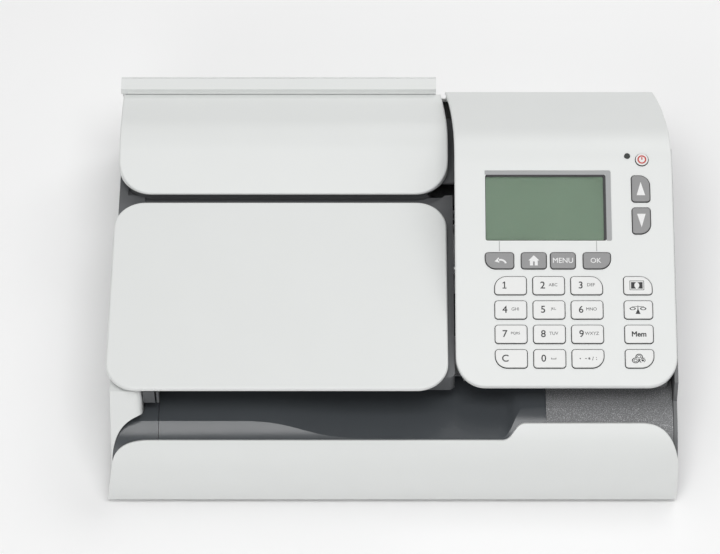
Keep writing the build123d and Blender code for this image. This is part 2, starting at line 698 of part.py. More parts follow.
def key_cap(x0, x1, s0, s1, radii):
    face = rounded(x0, x1, s0, s1, radii)
    cap = on_panel(face, -KEY_DEPTH, KEY_PROUD)
    top = cap.faces().sort_by(Axis((0, 0, 0), PANEL_PLANE.z_dir))[-1]
    cap = fillet(top.edges(), 0.6)
    f = KEY_FLANGE
    foot = rounded(x0 - f, x1 + f, s0 - f, s1 + f, [q + f for q in radii])
    return cap + on_panel(foot, -KEY_DEPTH - KEY_FOOT_T, -KEY_DEPTH)


def power_key():
    place = PANEL_PLANE * Pos(POWER_X, POWER_S, 0)
    upright = (Align.CENTER, Align.CENTER, Align.MIN)
    cap = place * Pos(0, 0, -POWER_DEPTH) * Cylinder(POWER_R, POWER_DEPTH + 0.8, align=upright)
    foot = Cylinder(POWER_R + KEY_FLANGE, KEY_FOOT_T, align=upright)
    return cap + place * Pos(0, 0, -POWER_DEPTH - KEY_FOOT_T) * foot


def control_panel():
    shell = soften(panel_shape(0.0, 0.0, 40), 1.2) - panel_shape(PANEL_T, PANEL_T, 30)
    skirt = panel_shape(-30, PANEL_SKIRT, 20)
    shell = shell - skirt
    for name, x0, x1, s0, s1, radii in key_table():
        c = KEY_CLEAR
        face = rounded(x0 - c, x1 + c, s0 - c, s1 + c, [q + c for q in radii])
        shell = shell - on_panel(face, -8, 3)
    shell = shell - on_panel(Pos(POWER_X, POWER_S) * Circle(POWER_R + KEY_CLEAR), -8, 3)
    shell = shell - on_panel(Pos(LED_X, LED_S) * Circle(LED_R + 0.1), -8, 3)
    step = rounded(LCD_X0 - 0.8, LCD_X1 + 3.6, LCD_S0 - 0.4, LCD_S1 + 3.0, (1.5,) * 4)
    shell = shell - on_panel(step, -0.5, 3)
    shell = shell - on_panel(display_face(LCD_LEDGE, 1.0), -8, 3)
    return shell - on_panel(display_face(0.0, 1.5), -1.6, 3)


def display_face(inset, radius):
    """The display window's outline, drawn in by inset."""
    return rounded(LCD_X0 + inset, LCD_X1 - inset, LCD_S0 + inset, LCD_S1 - inset, (radius,) * 4)


def lcd_window():
    return on_panel(display_face(0.1, 1.4), -1.6, -0.5)


def lcd_module():
    module = on_panel(rounded(LCD_X0 - 2, LCD_X1 + 2, LCD_S0 - 1.5, LCD_S1 + 3, (1,) * 4), -6.0, -PANEL_T)
    return module + on_panel(display_face(LCD_LEDGE + 0.1, 0.8), -PANEL_T, LCD_GLASS_TOP)


def status_led():
    place = PANEL_PLANE * Pos(LED_X, LED_S, 0)
    return place * Pos(0, 0, -7.4) * Cylinder(LED_R, 7.7, align=(Align.CENTER, Align.CENTER, Align.MIN))


def keypad_board():
    board = on_panel(rounded(58, 181, 19, 101, (6, 6, 0.5, 2)), -9.0, -7.4)
    upper = on_panel(rounded(154, 181, 101, 172, (0.5, 0.5, 2, 2)), -9.0, -7.4)
    return board + upper


# ---------------------------------------------------------------- works


def chassis():
    plate = block(-184, 182, 66, 272, CEILING_Z, CEILING_Z + CHASSIS_T)
    plate = plate + block(SLOT_LEFT_X + 1, FRAME_RIGHT_X, 57, 66, CEILING_Z, CEILING_Z + CHASSIS_T)
    plate = plate - block(-36, 152, 98, 134, 50, 60) - post(3, PULLEY_X1, BELT_Y, 50, 60)
    for x0, x1 in ((ROD_X0, ROD_X0 + 2), (ROD_X1 - 2, ROD_X1)):
        for y in (ROD_FRONT_Y, ROD_REAR_Y):
            ear = block(x0, x1, y - 6, y + 6, CEILING_Z + CHASSIS_T, 67)
            plate = plate + (ear - bar_x(ROD_R, x0 - 1, x1 + 1, y, ROD_Z))
    return plate + post(2.0, PULLEY_X0, BELT_Y, CEILING_Z + CHASSIS_T, 66)


def guide_rods():
    return [bar_x(ROD_R, ROD_X0, ROD_X1, y, ROD_Z) for y in (ROD_FRONT_Y, ROD_REAR_Y)]


def print_carriage():
    """A long flat arm on two rods: print head at the front, cartridge bay at the back."""
    x0 = HOME_X - HALF_ARM
    x1 = HOME_X + HALF_ARM
    arm = block(x0, x1, 102, 184, 58, 66.8) + block(x0, x1, 184, 271, 58, 59.6)
    arm = arm + block(x0, x1, 253, 271, 58, 66.8)
    arm = arm + block(x0, x0 + 1.5, 206.5, 253, 58, 67) + block(x1 - 1.5, x1, 206.5, 253, 58, 67)
    arm = arm - block(x0 + 3, x1 - 3, 157, 182, 60, 70)
    arm = arm + block(HOME_X - 16, HOME_X + 16, 104, 130, 55.0, 58)
    arm = arm + block(x0, x1, BELT_Y - BELT_R - 3, BELT_Y - BELT_R - 1, 59.6, 65)
    arm = arm + block(x0, x1, BELT_Y - BELT_R + 1, BELT_Y - BELT_R + 3, 59.6, 65)
    for y in (ROD_FRONT_Y, ROD_REAR_Y):
        arm = arm - bar_x(ROD_R + 0.05, x0 - 1, x1 + 1, y, ROD_Z)
    return arm


def ink_cartridge():
    x0 = HOME_X - HALF_ARM + 1.7
    x1 = HOME_X + HALF_ARM - 1.7
    tank = block(x0, x1, 208.5, 252.5, 59.6, 71.6)
    tank = fillet(tank.edges().filter_by(Axis.Z), 2.0)
    tank = tank - block(x0 - 1, x1 + 1, 249, 260, 69.1, 80)
    return tank + block(HOME_X - 12, HOME_X + 12, 212, 215, 71.6, 73)


def cartridge_latch():
    """A sliding catch that stands over the cartridge's rear ledge."""
    slide = block(HOME_X - 10, HOME_X + 10, 253, 268, 66.8, 70.6)
    nose = block(HOME_X - 7, HOME_X + 7, 249.4, 253, 69.1, 70.6)
    grip = block(HOME_X - 6, HOME_X + 6, 262, 265, 70.6, 72.4)
    return slide + nose + grip


def drive_belt():
    """The toothed belt's loop around both pulleys."""
    r = BELT_R + 0.5
    x0 = PULLEY_X0
    x1 = PULLEY_X1
    outer = SlotCenterToCenter(x1 - x0, 2 * r)
    inner = SlotCenterToCenter(x1 - x0, 2 * r - 2.0)
    return extrude(Pos((x0 + x1) / 2, BELT_Y, 60.6) * (outer - inner), 4.0)


def pulley(x):
    """A flanged pulley, with a notch that shows its turning."""
    wheel = post(BELT_R - 0.8, x, BELT_Y, 60.3, 64.9) + post(BELT_R + 1.5, x, BELT_Y, 64.9, 65.7)
    return wheel - block(x - 0.8, x + 0.8, BELT_Y - BELT_R, BELT_Y - BELT_R + 2.4, 64.0, 66)


def motor_pulley():
    return pulley(PULLEY_X1) + post(1.5, PULLEY_X1, BELT_Y, 40, 60.3)


def idler_pulley():
    return pulley(PULLEY_X0) - post(2.05, PULLEY_X0, BELT_Y, 55, 70)


def carriage_motor():
    motor = post(14.0, PULLEY_X1, BELT_Y, 34, CEILING_Z)
    motor = motor + block(PULLEY_X1 - 17, PULLEY_X1 + 17, BELT_Y - 9, BELT_Y + 9, 53.9, CEILING_Z)
    return motor - post(1.55, PULLEY_X1, BELT_Y, 36, 60)


def maintenance_station():
    """The cap and wiper that the print head parks on, right of the mail slot."""
    body = block(HOME_X - 19, HOME_X + 19, 100, 134, 30, 50)
    body = body + block(HOME_X - 15, HOME_X + 15, 105, 129, 50, 54.6)
    body = body - block(HOME_X - 12, HOME_X + 12, 108, 126, 52, 56)
    stand = block(HOME_X - 19, HOME_X + 19, 100, 134, FOOT_H + WALL, 8.5)
    return body + stand + block(HOME_X - 5, HOME_X + 5, 110, 124, 8, 31)


def security_module():
    """The sealed box that holds the postal security device."""
    box = block(60, 128, 165, 235, 10, 28)
    box = fillet(box.edges().filter_by(Axis.Z), 3.0)
    lid = block(62, 126, 167, 233, 28, 30)
    feet = block(60, 128, 160, 240, FOOT_H + WALL, 10)
    return box + lid + feet


def feed_shaft():
    shaft = bar_x(ROLLER_SHAFT_R, -24.5, 72, ROLLER_Y, ROLLER_Z)
    return shaft + bar_x(1.5, -38, -24.5, ROLLER_Y, ROLLER_Z)


def feed_rollers():
    rollers = []
    for x in ROLLER_XS:
        tyre = bar_x(ROLLER_R, x - 5, x + 5, ROLLER_Y, ROLLER_Z)
        rollers.append(tyre - bar_x(ROLLER_SHAFT_R, x - 6, x + 6, ROLLER_Y, ROLLER_Z))
    return rollers


def feed_motor():
    foot = block(-56, -30, ROLLER_Y - 6, ROLLER_Y + 6, FOOT_H + WALL, ROLLER_Z)
    motor = bar_x(9.5, -58, -26, ROLLER_Y, ROLLER_Z) + foot
    return motor - bar_x(1.55, -40, -25, ROLLER_Y, ROLLER_Z)


def main_board():
    board = block(-140, 40, 170, 250, 11, 12.6)
    for x in (-130, 30):
        for y in (176, 244):
            board = board + post(3, x, y, FOOT_H + WALL, 11)
    board = board + block(-110, -84, 190, 216, 12.6, 15) + block(-60, -44, 200, 230, 12.6, 15.6)
    board = board + block(-20, 0, 180, 192, 12.6, 17)
    for y in (210, 225):
        board = board + post(5, 20, y, 12.6, 24)
    return board


def power_inlet():
    """A round low-voltage inlet with its centre pin."""
    body = bar_y(5.5, INLET_X, 290, DEPTH - 0.4, INLET_Z)
    body = body + block(INLET_X - 7, INLET_X + 7, 283, 297, FOOT_H + WALL, 26)
    body = body - bar_y(3.2, INLET_X, 292.5, DEPTH + 1, INLET_Z)
    return body + bar_y(1.0, INLET_X, 292.5, DEPTH - 2, INLET_Z)


def data_port():
    """A network socket."""
    shell = block(56.2, 70.2, 286, DEPTH - 0.4, 12.2, 24.8)
    shell = shell + block(56.2, 70.2, 286, 299, FOOT_H + WALL, 12.2)
    shell = shell - block(57.4, 69.0, 289, DEPTH + 1, 13.4, 21.6)
    return shell - block(60.2, 66.2, 289, DEPTH + 1, 13.4, 23.6)


def write(name, shape):
    """Moves a sub-part into the machine's own frame and writes it."""
    solids = shape if isinstance(shape, list) else [shape]
    moved = [CENTRE * one for one in solids]
    result = moved[0] if len(moved) == 1 else Compound(children=moved)
    export_step(result, f"parts/{name}.step")


os.makedirs("parts", exist_ok=True)

SUB_PARTS = {
    "base_casing": base_casing,
    "rubber_feet": rubber_feet,
    "case_screws": case_screws,
    "front_fascia": front_fascia,
    "deck_end": deck_end,
    "mail_deck": mail_deck,
    "mid_housing": mid_housing,
    "right_housing": right_housing,
    "right_side_panel": right_side_panel,
    "rear_casing": rear_casing,
    "cover_hinge_pins": hinge_pins,
    "ink_cover": ink_cover,
    "weigh_platform": weigh_platform,
    "platform_spider": platform_spider,
    "load_cell": load_cell,
    "control_panel": control_panel,
    "lcd_window": lcd_window,
    "lcd_module": lcd_module,
    "status_led": status_led,
    "keypad_board": keypad_board,
    "chassis": chassis,
    "guide_rods": guide_rods,
    "print_carriage": print_carriage,
    "ink_cartridge": ink_cartridge,
    "cartridge_latch": cartridge_latch,
    "drive_belt": drive_belt,
    "motor_pulley": motor_pulley,
    "idler_pulley": idler_pulley,
    "carriage_motor": carriage_motor,
    "maintenance_station": maintenance_station,
    "security_module": security_module,
    "feed_shaft": feed_shaft,
    "feed_rollers": feed_rollers,
    "feed_motor": feed_motor,
    "main_board": main_board,
    "power_inlet": power_inlet,
    "data_port": data_port,
    "key_power": power_key,
}

for node, build in SUB_PARTS.items():
    write(node, build())

for node, *limits in key_table():
    write(node, key_cap(*limits))
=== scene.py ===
"""Looks of a desktop franking machine: finishes, legends, display, sockets, labels and studio light."""
import json
import math

import bmesh
import bpy
from mathutils import Matrix, Vector


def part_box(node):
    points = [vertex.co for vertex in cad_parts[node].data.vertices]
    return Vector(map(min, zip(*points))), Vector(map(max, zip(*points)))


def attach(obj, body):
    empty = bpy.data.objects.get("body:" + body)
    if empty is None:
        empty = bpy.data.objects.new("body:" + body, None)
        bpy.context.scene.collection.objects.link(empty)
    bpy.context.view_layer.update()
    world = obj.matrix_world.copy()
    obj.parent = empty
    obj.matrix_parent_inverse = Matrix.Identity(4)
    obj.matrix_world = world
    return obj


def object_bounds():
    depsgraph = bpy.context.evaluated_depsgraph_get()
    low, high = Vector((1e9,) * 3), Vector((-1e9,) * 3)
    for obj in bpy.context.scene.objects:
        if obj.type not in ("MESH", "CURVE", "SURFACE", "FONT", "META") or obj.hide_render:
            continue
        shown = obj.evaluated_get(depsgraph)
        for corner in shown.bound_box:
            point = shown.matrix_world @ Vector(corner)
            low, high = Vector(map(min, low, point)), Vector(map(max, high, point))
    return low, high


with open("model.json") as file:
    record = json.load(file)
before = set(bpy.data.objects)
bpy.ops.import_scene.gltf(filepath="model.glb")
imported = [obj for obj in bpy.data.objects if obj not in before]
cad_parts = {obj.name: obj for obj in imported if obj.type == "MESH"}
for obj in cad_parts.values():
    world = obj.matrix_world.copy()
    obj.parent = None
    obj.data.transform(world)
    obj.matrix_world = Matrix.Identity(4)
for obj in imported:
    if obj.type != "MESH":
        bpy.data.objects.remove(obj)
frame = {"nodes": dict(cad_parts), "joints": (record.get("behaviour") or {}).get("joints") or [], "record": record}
CAD_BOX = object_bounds()

MM = 0.001
INK = 0.03 * MM
NODES = frame["nodes"]
WHITE = (0.76, 0.775, 0.765)
# Painted shade: a near black laid on the panel's holes and on the feet of the keys, where shadow falls.
PAINTED_SHADE_COLOUR = (0.035, 0.036, 0.038)
CAMERA_ELEVATION = math.radians(55)
CAMERA_DISTANCE = 2.235
BOARD_FACE = 6.1 * MM
DIGIT_HEIGHT = 5.0 * MM
SMALL_LETTER_HEIGHT = 2.2 * MM
# Shares of a key's width and height.
DIGIT_PLACE = (0.30, 0.52)
SMALL_LETTER_PLACE = (0.645, 0.54)
# In millimetres: one wire of the network socket seen from the side, and the print of the rating plate.
CONTACT_WIRE = ((-2.5, 0.15), (-2.5, 0.5), (-10.5, 3.8), (-10.5, 3.4))
PLATE_SIZE = (50, 26)
PLATE_LINE_ENDS = (4, -2, 8, 1)
PLATE_BARS = (0.5, 1.0, 0.5, 0.5, 1.4, 0.5, 1.0, 0.5, 1.4, 0.5, 0.5, 1.0, 0.5, 1.4, 0.5, 1.0, 0.5)
MOULD_RADII = {
    "front_fascia": 0.5, "deck_end": 0.3, "mail_deck": 0.3, "right_side_panel": 0.4, "right_housing": 0.3,
    "mid_housing": 0.3, "rear_casing": 0.4, "ink_cartridge": 0.3, "print_carriage": 0.25,
}
WHITE_KEY_LETTERS = {
    "key_1": ("1", ""), "key_2": ("2", "ABC"), "key_3": ("3", "DEF"),
    "key_4": ("4", "GHI"), "key_5": ("5", "JKL"), "key_6": ("6", "MNO"),
    "key_7": ("7", "PQRS"), "key_8": ("8", "TUV"), "key_9": ("9", "WXYZ"),
    "key_clear": ("C", ""), "key_0": ("0", ""),
}


# ---------------------------------------------------------------- places on the control panel


def panel_directions():
    """Across the control panel, up its slope, and out of it, from the way its keys are pressed."""
    pressed = next(j["axis"] for j in frame["joints"] if j["name"] == "key_5_press")
    out = -Vector(pressed).normalized()
    across = Vector((1, 0, 0))
    return across, out.cross(across), out


ACROSS, UP_SLOPE, OUT = panel_directions()


def extent(node, direction, points=None):
    """How far a node reaches along a direction, as lowest and highest."""
    along = [p.dot(direction) for p in points or [v.co for v in NODES[node].data.vertices]]
    return min(along), max(along)


PANEL_LEVEL = extent("control_panel", OUT)[1]


class Patch:
    """A flat rectangle on the control panel: its limits across and up the slope, and its height."""

    def __init__(self, left, right, low, high, level):
        self.left, self.right, self.low, self.high, self.level = left, right, low, high, level

    def place(self, x, s):
        """Puts a flat drawing's origin at a share of the width and of the height."""
        across = self.left + (self.right - self.left) * x
        up = self.low + (self.high - self.low) * s
        return panel_matrix(across, up, self.level)


def panel_matrix(across, up, level):
    matrix = Matrix((ACROSS, UP_SLOPE, OUT)).transposed().to_4x4()
    matrix.translation = ACROSS * across + UP_SLOPE * up + OUT * level
    return matrix


def top_of(node):
    """The outer face of a key or of another node on the panel."""
    skin = 0.05 * MM
    points = [v.co for v in NODES[node].data.vertices]
    level = extent(node, OUT)[1]
    flat = [p for p in points if p.dot(OUT) > level - skin]
    left, right = extent(node, ACROSS, flat)
    low, high = extent(node, UP_SLOPE, flat)
    return Patch(left, right, low, high, level)


# ---------------------------------------------------------------- flat drawings


def mesh_of(curve):
    """The mesh of a curve or of a line of letters."""
    holder = bpy.data.objects.new("holder", curve)
    mesh = bpy.data.meshes.new_from_object(holder)
    bpy.data.objects.remove(holder)
    bpy.data.curves.remove(curve)
    return mesh


def letters(words, weight=0.0):
    curve = bpy.data.curves.new("letters", "FONT")
    curve.body = words
    curve.size = 1.0
    curve.resolution_u = 5
    return bolder(mesh_of(curve), weight)


def bolder(mesh, growth):
    """Moves the outline of a flat drawing outward, so that its strokes are thicker."""
    part = bmesh.new()
    part.from_mesh(mesh)
    bmesh.ops.remove_doubles(part, verts=part.verts, dist=1e-5)
    moves = {v: Vector() for v in part.verts}
    for edge in part.edges:
        if edge.is_boundary:
            first, second = (v.co for v in edge.verts)
            along = (second - first).normalized()
            out = Vector((along.y, -along.x, 0))
            if out.dot(edge.link_faces[0].calc_center_median() - first) > 0:
                out = -out
            for v in edge.verts:
                moves[v] += out
    for v, move in moves.items():
        v.co += move * growth * 2 / max(1.0, move.length_squared)
    part.to_mesh(mesh)
    part.free()
    return mesh


def drawing(*loops):
    """A flat filled drawing of closed outlines, where an outline inside another is a hole."""
    curve = bpy.data.curves.new("drawing", "CURVE")
    curve.dimensions = "2D"
    curve.fill_mode = "BOTH"
    for loop in loops:
        spline = curve.splines.new("POLY")
        spline.points.add(len(loop) - 1)
        for point, (x, y) in zip(spline.points, loop):
            point.co = (x, y, 0, 1)
        spline.use_cyclic_u = True
    return mesh_of(curve)


def arc(radius, start, end, steps=24, centre=(0.0, 0.0), squeeze=1.0):
    """Points round part of a circle, with the angles in degrees."""
    points = []
    for i in range(steps + 1):
        angle = math.radians(start + (end - start) * i / steps)
        x = centre[0] + radius * math.cos(angle)
        y = centre[1] + squeeze * radius * math.sin(angle)
        points.append((x, y))
    return points


def ring(outer, inner, centre=(0.0, 0.0), squeeze=1.0):
    """Two outlines that leave a ring between them."""
    return [arc(r, 0, 360 - 15, 23, centre, squeeze) for r in (outer, inner)]


def rectangle(left, right, low, high, radius=0.0):
    """A rectangle's outline, with rounded corners."""
    if radius == 0:
        return [(left, low), (right, low), (right, high), (left, high)]
    corners = ((right, low, -90), (right, high, 0), (left, high, 90), (left, low, 180))
    points = []
    for x, y, start in corners:
        cx = x - radius if x == right else x + radius
        cy = y - radius if y == high else y + radius
        points += arc(radius, start, start + 90, 6, (cx, cy))
    return points


def fitted(mesh, height=None, width=None):
    """Centres a drawing on its own box and scales it to a height or a width."""
    xs = [v.co.x for v in mesh.vertices]
    ys = [v.co.y for v in mesh.vertices]
    scale = height / (max(ys) - min(ys)) if height else width / (max(xs) - min(xs))
    middle = Vector(((max(xs) + min(xs)) / 2, (max(ys) + min(ys)) / 2, 0))
    mesh.transform(Matrix.Scale(scale, 4) @ Matrix.Translation(-middle))
    return mesh


def printed(name, placed, body, finish, thickness=INK):
    """Flat drawings with their places, joined, given a thin body of ink and laid on the machine."""
    whole = bmesh.new()
    for mesh, matrix in placed:
        part = bmesh.new()
        part.from_mesh(mesh)
        bmesh.ops.remove_doubles(part, verts=part.verts, dist=1e-7)
        raised = bmesh.ops.extrude_face_region(part, geom=part.faces[:])
        moved = [v for v in raised["geom"] if isinstance(v, bmesh.types.BMVert)]
        bmesh.ops.translate(part, verts=moved, vec=(0, 0, thickness))
        bmesh.ops.recalc_face_normals(part, faces=part.faces[:])
        bmesh.ops.transform(part, matrix=matrix, verts=part.verts)
        scratch = bpy.data.meshes.new("scratch")
        part.to_mesh(scratch)
        part.free()
        whole.from_mesh(scratch)
        bpy.data.meshes.remove(scratch)
        bpy.data.meshes.remove(mesh)
    result = bpy.data.meshes.new(name)
    whole.to_mesh(result)
    whole.free()
    piece(name, result, body, finish)


def piece(name, mesh, body, finish):
    """A new object that wears a finish and moves with a body."""
    thing = bpy.data.objects.new(name, mesh)
    bpy.context.scene.collection.objects.link(thing)
    mesh.materials.append(finish)
    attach(thing, body)


# ---------------------------------------------------------------- finishes


class Finish:
    """One material's node tree, with short names for the nodes used again and again."""

    def __init__(self, name, **uniform):
        self.material = bpy.data.materials.new(name)
        self.material.use_nodes = True
        self.nodes = self.material.node_tree.nodes
        self.links = self.material.node_tree.links
        self.shader = self.nodes["Principled BSDF"]
        self.place = self.nodes.new("ShaderNodeTexCoord").outputs["Object"]
        for socket, value in uniform.items():
            self.shader.inputs[socket.replace("_", " ")].default_value = value

    def wire(self, output, socket):
        self.links.new(output, self.shader.inputs[socket])

    def stretched(self, x, y, z):
        """The place on the object, scaled differently along each axis."""
        node = self.nodes.new("ShaderNodeMapping")
        node.inputs["Scale"].default_value = (x, y, z)
        self.links.new(self.place, node.inputs["Vector"])
        return node.outputs["Vector"]

    def noise(self, size, detail=3.0, place=None):
        """Soft random patches of a size in metres."""
        node = self.nodes.new("ShaderNodeTexNoise")
        node.inputs["Scale"].default_value = 1 / size
        node.inputs["Detail"].default_value = detail
        self.links.new(place or self.place, node.inputs["Vector"])
        return node.outputs["Fac"]

    def cells(self, size, place=None):
        """Distance from the middle of random cells of a size in metres."""
        node = self.nodes.new("ShaderNodeTexVoronoi")
        node.inputs["Scale"].default_value = 1 / size
        self.links.new(place or self.place, node.inputs["Vector"])
        return node.outputs["Distance"]

    def height(self):
        """How high the place lies, in metres."""
        node = self.nodes.new("ShaderNodeSeparateXYZ")
        self.links.new(self.place, node.inputs["Vector"])
        return node.outputs["Z"]

    def along(self, direction):
        """How far the place lies along a direction, in metres."""
        node = self.nodes.new("ShaderNodeVectorMath")
        node.operation = "DOT_PRODUCT"
        node.inputs[1].default_value = direction
        self.links.new(self.place, node.inputs[0])
        return node.outputs["Value"]

    def inside(self, limits, blur=0.05 * MM):
        """1 where every value lies between its low and high limits, 0 elsewhere."""
        share = None
        for value, low, high in limits:
            for edge, away in ((low, low - blur), (high, high + blur)):
                step = self.spread(value, 0.0, 1.0, away, edge)
                share = step if share is None else self.times(share, step)
        return share

    def times(self, first, second):
        node = self.nodes.new("ShaderNodeMath")
        node.operation = "MULTIPLY"
        self.links.new(first, node.inputs[0])
        self.links.new(second, node.inputs[1])
        return node.outputs["Value"]

    def spread(self, value, low, high, first=0.0, last=1.0):
        """Maps first..last of a value to low..high."""
        node = self.nodes.new("ShaderNodeMapRange")
        node.inputs["From Min"].default_value = first
        node.inputs["From Max"].default_value = last
        node.inputs["To Min"].default_value = low
        node.inputs["To Max"].default_value = high
        self.links.new(value, node.inputs["Value"])
        return node.outputs["Result"]

    def blend(self, share, first, last):
        """A colour between two, each a constant or another node's colour."""
        node = self.nodes.new("ShaderNodeMix")
        node.data_type = "RGBA"
        self.links.new(share, node.inputs["Factor"])
        for socket, colour in ((node.inputs[6], first), (node.inputs[7], last)):
            if isinstance(colour, tuple):
                socket.default_value = (*colour, 1)
            else:
                self.links.new(colour, socket)
        return node.outputs[2]

    def relief(self, height, depth, below=None):
        """Bumps of a depth in metres, on top of other bumps if there are any."""
        node = self.nodes.new("ShaderNodeBump")
        node.inputs["Strength"].default_value = 1.0
        node.inputs["Distance"].default_value = depth
        self.links.new(height, node.inputs["Height"])
        if below is not None:
            self.links.new(below, node.inputs["Normal"])
        return node.outputs["Normal"]


def shade(colour, factor):
    return tuple(min(1.0, c * factor) for c in colour)


def moulded(name, colour, roughness=0.42, variation=0.03, grain=0.5 * MM, depth=3e-6,
            painted_shade=None, **uniform):
    """Moulded plastic: faint mottling, uneven gloss, a fine grain, and painted shade in near black over given
    zones if it has any.
    """
    finish = Finish(name, **uniform)
    mottle = finish.noise(30 * MM, 4.0)
    skin = finish.blend(mottle, shade(colour, 1 - variation), shade(colour, 1 + variation))
    # Painted shade: the given zones are darkened to stand in for the shadow in holes and gaps.
    if painted_shade:
        limits = [(finish.along(direction), low, high) for direction, low, high in painted_shade]
        skin = finish.blend(finish.inside(limits), skin, PAINTED_SHADE_COLOUR)
    finish.wire(skin, "Base Color")
    gloss = finish.noise(12 * MM, 5.0)
    finish.wire(finish.spread(gloss, roughness - 0.06, roughness + 0.06), "Roughness")
    finish.wire(finish.relief(finish.noise(grain, 2.0), depth), "Normal")
    return finish.material


def speckled(name, colour, light, size, depth, roughness=0.55, share=0.62):
    """Coarsely textured plastic: raised pimples whose tops are painted lighter as a highlight, over a darker
    ground.
    """
    finish = Finish(name)
    pimples = finish.noise(size, 1.0)
    ground = finish.blend(finish.noise(25 * MM), shade(colour, 0.93), shade(colour, 1.07))
    # Painted highlight: the pimple tops get the lighter colour, as if lit.
    highlight_tips = finish.spread(pimples, 0.0, 1.0, share - 0.1, share + 0.08)
    finish.wire(finish.blend(highlight_tips, ground, light), "Base Color")
    finish.wire(finish.spread(pimples, roughness + 0.1, roughness - 0.15), "Roughness")
    finish.wire(finish.relief(pimples, depth), "Normal")
    return finish.material


def metal(name, colour, roughness=0.3, grain=(1, 40, 40), depth=2e-6, metallic=1.0):
    """Rolled or brushed metal: long fine scratches along one axis, and cloudy gloss."""
    finish = Finish(name, Metallic=metallic)
    scratch = finish.noise(4 * MM, 6.0, finish.stretched(*grain))
    finish.wire(finish.blend(scratch, shade(colour, 0.86), shade(colour, 1.08)), "Base Color")
    finish.wire(finish.spread(finish.noise(9 * MM, 4.0), roughness - 0.08, roughness + 0.1), "Roughness")
    finish.wire(finish.relief(scratch, depth), "Normal")
    return finish.material


def rubber(name, colour=(0.025, 0.025, 0.026)):
    """Matt black rubber with dusty patches."""
    finish = Finish(name, Specular_IOR_Level=0.3)
    dust = finish.noise(6 * MM, 6.0)
    finish.wire(finish.blend(dust, colour, shade(colour, 2.2)), "Base Color")
    finish.wire(finish.spread(dust, 0.7, 0.9), "Roughness")
    finish.wire(finish.relief(finish.noise(0.6 * MM, 3.0), 12e-6), "Normal")
    return finish.material


def glass(name):
    """The display's clear window, with a faint haze."""
    finish = Finish(name, Transmission_Weight=1.0, IOR=1.45)
    haze = finish.noise(20 * MM, 3.0)
    finish.wire(finish.blend(haze, (0.9, 0.93, 0.9), (0.96, 0.98, 0.96)), "Base Color")
    finish.wire(finish.spread(haze, 0.02, 0.08), "Roughness")
    return finish.material


def display(name):
    """The display's grey-green film, a little uneven and with a faint grain."""
    finish = Finish(name, Coat_Weight=0.2)
    cloud = finish.noise(60 * MM, 2.0)
    film = finish.blend(cloud, (0.252, 0.366, 0.257), (0.288, 0.408, 0.300))
    grain = finish.cells(0.9 * MM)
    finish.wire(finish.blend(finish.spread(grain, 0.0, 0.06), film, (0.10, 0.15, 0.105)), "Base Color")
    finish.wire(finish.spread(cloud, 0.28, 0.38), "Roughness")
    return finish.material


def board(name, top):
    """A green circuit board with copper tracks under the mask; parts above its face are black."""
    finish = Finish(name)
    tracks = finish.noise(1.5 * MM, 0.0, finish.stretched(1, 0.12, 1))
    mask = finish.blend(finish.spread(tracks, 0, 1, 0.47, 0.53), (0.01, 0.09, 0.03), (0.03, 0.19, 0.06))
    above = finish.spread(finish.height(), 0.0, 1.0, top + 0.05 * MM, top + 0.1 * MM)
    finish.wire(finish.blend(above, mask, (0.02, 0.02, 0.021)), "Base Color")
    finish.wire(finish.spread(finish.noise(3 * MM), 0.3, 0.5), "Roughness")
    return finish.material


def ink(name, colour):
    """Screen-printed ink, a little uneven."""
    finish = Finish(name)
    patch = finish.noise(0.8 * MM, 3.0)
    finish.wire(finish.blend(patch, shade(colour, 0.88), shade(colour, 1.12)), "Base Color")
    finish.wire(finish.spread(patch, 0.45, 0.6), "Roughness")
    return finish.material


def key_field_shade():
    """The holes of the control panel, below its surface, where the keys and the display sit; they are painted near
    black as shade.
    """
    side_margin, end_margin = 8 * MM, 1 * MM
    deepest, shallowest = 4 * MM, 0.55 * MM
    left, right = extent("control_panel", ACROSS)
    low = extent("key_0", UP_SLOPE)[0] - end_margin
    high = extent("key_power", UP_SLOPE)[1] - end_margin
    return [(ACROSS, left + side_margin, right - side_margin), (UP_SLOPE, low, high),
            (OUT, PANEL_LEVEL - deepest, PANEL_LEVEL - shallowest)]


def key_foot_shade():
    """The foot of every key, from inside the panel to just above its surface, painted near black as the shadow in
    the gap round the key.
    """
    deepest, above = 9 * MM, 0.6 * MM
    return [(OUT, PANEL_LEVEL - deepest, PANEL_LEVEL + above)]


